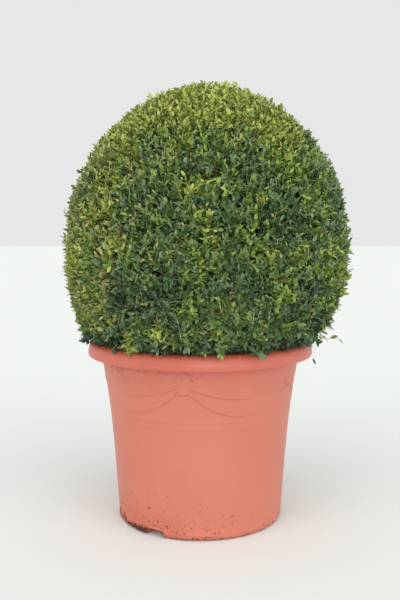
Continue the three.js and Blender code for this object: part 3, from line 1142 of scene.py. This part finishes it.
def growLeaves(opts, roots, knees, tips, rng):
    # opposite pairs, each turned a quarter from the last, opening towards the tip
    count, pairs = len(tips), opts["pairs"]
    rank = np.arange(pairs)
    share = opts["bareShare"] + (0.99 - opts["bareShare"]) * (rank + 0.5) / pairs
    places, along = bend(roots[:, None], knees[:, None], tips[:, None], share[None, :, None])
    across = unit(np.cross(along, unit(rng.normal(0, 1, (count, 1, 3)))))
    other = np.cross(along, across)
    turn = (rank[None] % 2) * math.pi / 2 + rng.normal(0, 0.28, (count, pairs))
    sides = []
    for flip in (0, math.pi):
        angle = (turn + flip)[..., None]
        sides.append(across * np.cos(angle) + other * np.sin(angle))
    side = np.stack(sides, axis=2)  # sprays x pairs x 2 x xyz
    along = np.repeat(along[:, :, None], 2, axis=2)
    places = np.repeat(places[:, :, None], 2, axis=2)
    nearTip = ((rank / (pairs - 1)) ** 3)[None, :, None]
    opening = rng.normal(opts["leafOpening"], 0.28, side.shape[:3]) * (1 - 0.25 * nearTip)
    opening = opening[..., None]
    blade = along * np.cos(opening) + side * np.sin(opening) + [0, 0, 0.18]
    blade = unit(blade + rng.normal(0, 0.25, side.shape))
    face = squared(along + [0, 0, 0.45] + rng.normal(0, 0.29, side.shape), blade)
    size = rng.normal(opts["leafLength"], opts["leafSpread"], side.shape[:3])
    size = np.clip(size, 0.0065, 0.0185) * (1 - 0.32 * nearTip)
    width = np.clip(rng.normal(opts["leafWidth"], 0.085, size.shape), 0.2, 0.56)
    return places, blade, np.cross(face, blade) * width[..., None], face, size


def dealGreens(opts, tips, carrier, branchOf, rng):
    # one green for each pair of leaves, by youth: of the place, the tuft, the branch and the spray
    count, pairs = len(tips), opts["pairs"]
    x, _, z = ((tips - np.array(crownShape["centre"])) / crownShape["radius"]).T
    top = np.clip((z - 0.42 - 0.12 * x) / 0.7, 0, 1) ** 1.5
    flank = np.clip((-x - 0.5) / 0.5, 0, 1)
    farFlank = np.clip((x - 0.75) / 0.25, 0, 1)
    youth = opts["youth"] + opts["topYouth"] * top
    youth = youth + opts["flankYouth"] * flank + opts["farFlankYouth"] * farFlank
    # painted shade: less youth, and so darker greens, for the lowest leaves
    hem = np.clip(1 - (tips[:, 2] - lipHigh.z) / opts["hemReach"], 0, 1)
    youth -= opts["hemShade"] * hem
    for degrees, height, reach, more in opts["youngSpots"]:
        youth += more / 100 * around(tips, onCrown(degrees, height / 1000), reach / 1000)
    for place in tips[rng.choice(count, opts["seededTufts"], replace=False)]:
        youth += rng.normal(0, opts["tuftYouth"]) * around(tips, place, rng.uniform(*opts["tuftReach"]))
    youth += rng.normal(0, opts["byBranch"], branchOf.max() + 1)[branchOf[carrier]]
    youth += rng.normal(0, opts["byBranchlet"], carrier.max() + 1)[carrier]
    youth += rng.normal(0, opts["bySpray"], count) + 0.35 * (rng.random(count) < 0.03)
    perLeaf = youth[:, None] + 0.1 * (np.arange(pairs) / (pairs - 1) - 0.55)[None]
    perLeaf = perLeaf + rng.normal(0, 0.03, (count, pairs))
    picks = np.digitize(perLeaf, tierTops)
    names = list(leafGreens)
    draw = rng.random((count, 1)) + rng.normal(0, 0.03, (count, pairs))
    # painted sheen: some leaves take the bluish grey-green of light glancing off them
    glossy = (draw < opts["sheenShare"]) & (perLeaf > tierTops[0]) & (perLeaf < 0.4)
    picks[glossy] = names.index("sheen")
    often = 0.94 + 0.36 * np.clip(x, -1, 0.1)[:, None]
    picks[(draw > often) & (perLeaf > 0.15) & (perLeaf < 0.66)] = names.index("olive")
    picks[rng.random((count, pairs)) < opts["tanShare"]] = names.index("tan")
    return picks


def clearOfLip(verts):
    # leaves that start above the pot's lip lie on it and barely reach down its face
    crest = sorted(lipCrest())
    radii, heights = np.array(crest).T
    away = np.hypot(verts[..., 0], verts[..., 1])
    lowest = np.interp(away, radii, np.maximum(heights + 0.0005, lipHigh.z - 0.008), left=0)
    fromAbove = verts[:, :1, 2] > lipHigh.z - 0.004
    verts[..., 2] = np.where(fromAbove, np.maximum(verts[..., 2], lowest), verts[..., 2])
    return verts


def leafCorners(places, blade, cross, face, size):
    along, aside, lifted = leafShape[:, :1], leafShape[:, 1:2], leafShape[:, 2:]
    shape = blade[:, None] * along + cross[:, None] * aside + face[:, None] * lifted
    return places[:, None] + size[:, None, None] * shape


def leafMesh(name, look, verts):
    # look is the colour and roughness
    piece = meshFrom("leaves_" + name, verts, leafFaces, plainMaterial("leaf_" + name, *look))
    declare(piece, "foliage", "clipped_crown")
    print("leaves", name, len(verts))


def buildLeaves(leaves, picks):
    for tier, (name, look) in enumerate(leafGreens.items()):
        verts = leafCorners(*(part[picks == tier] for part in leaves))
        leafMesh(name, look, clearOfLip(verts))


def growStrays(rng):
    # the few leaves and twigs that stand clear of the clipped outline
    foot, tip, width, greens = zip(*strayLeaves)
    foot, tip, width = np.array(foot) / 1000, np.array(tip) / 1000, np.array(width)[:, None] / 100
    picks = [list(leafGreens).index(green) for green in greens]
    size = np.linalg.norm(tip - foot, axis=1)
    blade = unit(tip - foot)
    face = squared(np.array([0.1, -0.8, 0.6]) + rng.normal(0, 0.12, foot.shape), blade)
    leaves = [foot, blade, np.cross(face, blade) * width, face, size]
    start, knee, end, thick = [np.array(column) / 1000 for column in zip(*strayTwigs)]
    share = np.linspace(0, 1, 6)[None, :, None]
    paths, _ = bend(start[:, None], knee[:, None], end[:, None], share)
    return leaves, picks, paths, taper(thick, thick * 0.6, 6)


def buildFoliage(opts, carriers, branchOf):
    rng = np.random.default_rng(opts["seed"])
    carrier, roots, knees, tips, normal = growTwigs(opts, carriers, rng)
    leaves = growLeaves(opts, roots, knees, tips, rng)
    picks = dealGreens(opts, tips, carrier, branchOf, rng)
    picks = np.repeat(picks[:, :, None], 2, axis=2).ravel()
    leaves = [part.reshape(len(picks), -1) for part in leaves]
    leaves[-1] = leaves[-1].ravel()
    strayed, strayPicks, strayPaths, strayRadii = growStrays(rng)
    leaves = [np.concatenate(pair) for pair in zip(leaves, strayed)]
    buildLeaves(leaves, np.concatenate([picks, strayPicks]))

    bark = barkMaterial("twig_bark", (0.2, 0.19, 0.08), (0.4, 0.37, 0.17))
    u = np.array([0, 0.5, 0.92])[None, :, None]
    paths, _ = bend(roots[:, None], knees[:, None], tips[:, None], u)
    radii = taper(opts["twigRadius"] * 1.3, opts["twigRadius"] * 0.6, 3)
    twigs = limbMesh("crown_twigs", paths, radii, 3, bark)
    shoots = limbMesh("crown_shoots", strayPaths, strayRadii, 5, bark)
    for piece in (twigs, shoots):
        declare(piece, "bark", "clipped_crown")

    # bare clipped ends stand among the leaves
    pick = rng.choice(len(tips), opts["stubs"], replace=False)
    along = unit(unit(tips[pick] - knees[pick]) + rng.normal(0, 0.3, (len(pick), 3)))
    end = tips[pick] + normal[pick] * 0.002 + rng.normal(0, 0.003, (len(pick), 3))
    start = end - along * opts["stubLength"] * rng.uniform(0.6, 1.4, (len(pick), 1))
    steps = np.linspace(0, 1, 3)[None, :, None]
    paths = start[:, None] * (1 - steps) + end[:, None] * steps
    cut = barkMaterial("clipped_ends", (0.32, 0.32, 0.12), (0.5, 0.5, 0.25))
    ends = limbMesh("crown_clipped_ends", paths, taper(*opts["stubRadii"], 3), 3, cut)
    declare(ends, "bark", "clipped_crown")


def buildInnerLeaves(opts, carriers):
    # old leaves on the branchlets close the view through the crown
    rng = np.random.default_rng(opts["seed"] + 1)
    count = opts["innerLeaves"]
    pick = rng.integers(0, len(carriers), count)
    normal = crownNormal(carriers[pick])
    places = carriers[pick] + rng.normal(0, 0.01, (count, 3))
    places -= normal * rng.uniform(*opts["innerDepth"], (count, 1))
    blade = unit(rng.normal(0, 1, (count, 3)) + [0, 0, 0.5])
    face = squared(normal + rng.normal(0, 0.35, (count, 3)), blade)
    size = opts["innerLength"] * rng.uniform(0.8, 1.1, count)
    verts = leafCorners(places, blade, np.cross(face, blade) * opts["innerWidth"], face, size)
    leafMesh("inner", opts["innerLook"], verts)


buildInnerLeaves(foliage, branchletEnds)
buildFoliage(foliage, branchletEnds, branchOf)
print("foliage grown")


# floor, light and camera

studio = {
    "floor": (0.76, 0.789, 0.771),
    "backdrop": 0.8,
    "suns": (  # name, tilt and turn in degrees, strength, spread, tint, seen in gloss
        ("left_light", 82, -48, 1.47, 60, (1.0, 0.93, 0.9), False),
        ("right_light", 82, 48, 1.6, 60, (0.965, 1.0, 0.96), False),
        ("front_light", 79, 3, 0.37, 14, (1, 1, 1), True),
        ("top_light", 42, 0, 0.7, 60, (1, 1, 1), True),
    ),
    "lens": 48,
    "distance": 1.3906,
    "height": 0.5163,
    "tilt": 5.65,
}


def softSun(name, tilt, turn, strength, spread, tint, inGloss):
    lamp = added(bpy.ops.object.light_add, type="SUN", location=(0, 0, 3),
                 rotation=(math.radians(tilt), 0, math.radians(turn)))
    lamp.name = name
    lamp.data.energy = strength
    lamp.data.angle = math.radians(spread)
    lamp.data.color = tint
    lamp.visible_glossy = inGloss


def buildStudio(opts):
    floor = added(bpy.ops.mesh.primitive_plane_add, size=30, location=(0, 0, -0.0002))
    floor.name = "floor"
    matte = plainMaterial("studio_floor", opts["floor"], 0.9, Specular_IOR_Level=0.0)
    floor.data.materials.append(matte)
    world = bpy.data.worlds.new("studio")
    world.use_nodes = True
    background = world.node_tree.nodes["Background"]
    background.inputs["Color"].default_value = (1, 1, 1, 1)
    background.inputs["Strength"].default_value = opts["backdrop"]
    bpy.context.scene.world = world
    for sun in opts["suns"]:
        softSun(*sun)
    camera = added(bpy.ops.object.camera_add, location=(-0.0003, -opts["distance"], opts["height"]),
                   rotation=(math.radians(90 - opts["tilt"]), 0, 0))
    camera.data.lens = opts["lens"]
    camera.data.sensor_width = 36
    bpy.context.scene.camera = camera
    bpy.context.scene.view_settings.view_transform = "Standard"


buildStudio(studio)
print("studio lit")
